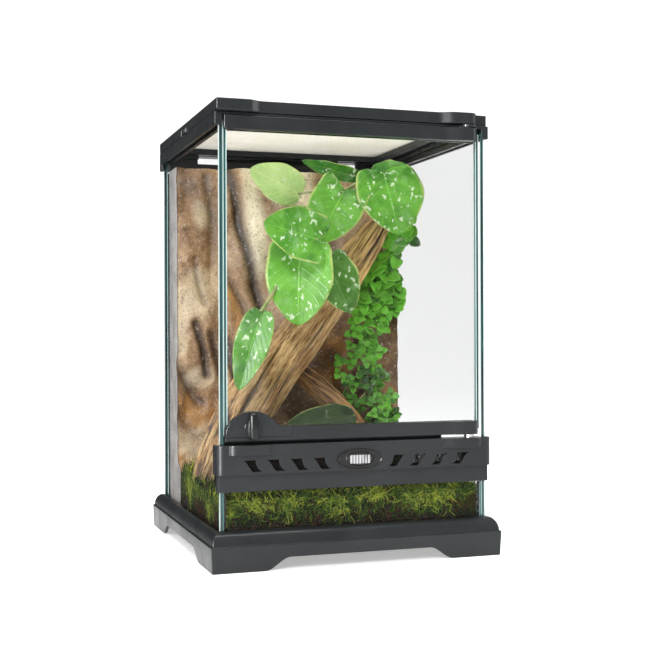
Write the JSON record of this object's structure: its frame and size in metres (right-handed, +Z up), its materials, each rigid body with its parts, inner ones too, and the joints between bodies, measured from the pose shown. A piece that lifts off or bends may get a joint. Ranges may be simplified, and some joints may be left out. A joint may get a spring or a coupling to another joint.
{
  "type": "reptile terrarium",
  "caption": "Front-opening glass terrarium with screened lift-off lid, hinged glass door, turning latch, vented front rail, arched base and planted rock, wood and moss interior.",
  "frame": {"origin": "under the middle of the glass box, on the plane the feet stand on", "axes": "+Z up, +X to the right along the front, front towards -Y"},
  "size_m": [0.2162, 0.222, 0.3222],
  "materials": {
    "charcoal_plastic": "fine satin moulded",
    "dark_plastic": "satin moulded",
    "rubber": "matt",
    "black_sealant": "glossy silicone",
    "pane_glass": "clear float glass with green edges",
    "vent_mesh": "black perforated sheet",
    "badge_plastic": "gloss",
    "badge_metal": "satin silver",
    "steel": "plain",
    "rock_foam": "painted moulded rock relief",
    "soil": "damp crumbly",
    "moss": "tangled dry moss",
    "driftwood": "weathered, cracked along the grain",
    "foliage": "waxy leaves with pale flecks",
    "screen_mesh": "fine cream screen"
  },
  "bodies": {
    "tank": {"base_plinth": "charcoal_plastic", "rubber_feet": "rubber", "bottom_pane": "pane_glass", "left_pane": "pane_glass", "right_pane": "pane_glass", "rear_pane": "pane_glass", "front_pane": "pane_glass", "sealant_beads": "black_sealant", "front_rail": "charcoal_plastic", "vent_screens": "vent_mesh", "badge_rim": "badge_plastic", "badge_plate": "badge_metal", "top_frame": "charcoal_plastic", "lower_hinge_pin": "steel", "upper_hinge_pin": "steel", "rock_wall": "rock_foam", "soil_bed": "soil", "moss_bed": "moss", "driftwood_log": "driftwood", "driftwood_branch": "driftwood", "leafy_vine": "foliage", "creeping_plant": "foliage", "ground_leaf": "foliage"},
    "door": {"door_pane": "pane_glass", "door_top_rail": "charcoal_plastic", "door_bottom_rail": "charcoal_plastic"},
    "latch": {"latch_knob": "dark_plastic", "latch_cam": "dark_plastic", "latch_screw": "steel"},
    "lid": {"lid_frame": "charcoal_plastic", "lid_screen": "screen_mesh", "screen_retainer": "charcoal_plastic"},
    "left_lock": {"left_lid_lock": "dark_plastic"},
    "right_lock": {"right_lid_lock": "dark_plastic"},
    "left_shutter": {"left_inlet_shutter": "dark_plastic"},
    "right_shutter": {"right_inlet_shutter": "dark_plastic"}
  },
  "joints": [
    {"name": "door_hinge", "type": "hinge", "parent": "tank", "child": "door", "pos_m": [0.0865, -0.1015, 0.2], "axis": [0, 0, 1], "range_deg": [0, 110]},
    {"name": "latch_turn", "type": "hinge", "parent": "door", "child": "latch", "pos_m": [-0.0775, -0.104, 0.097], "axis": [0, 1, 0], "range_deg": [0, 90]},
    {"name": "lid_lift", "type": "slide", "parent": "tank", "child": "lid", "axis": [0, 0, 1], "range_m": [0, 0.15]},
    {"name": "left_lock_slide", "type": "slide", "parent": "lid", "child": "left_lock", "axis": [0, 1, 0], "range_m": [0, 0.008]},
    {"name": "right_lock_slide", "type": "slide", "parent": "lid", "child": "right_lock", "axis": [0, 1, 0], "range_m": [0, 0.008]},
    {"name": "left_shutter_slide", "type": "slide", "parent": "tank", "child": "left_shutter", "axis": [-1, 0, 0], "range_m": [0, 0.022]},
    {"name": "right_shutter_slide", "type": "slide", "parent": "tank", "child": "right_shutter", "axis": [1, 0, 0], "range_m": [0, 0.022]}
  ]
}
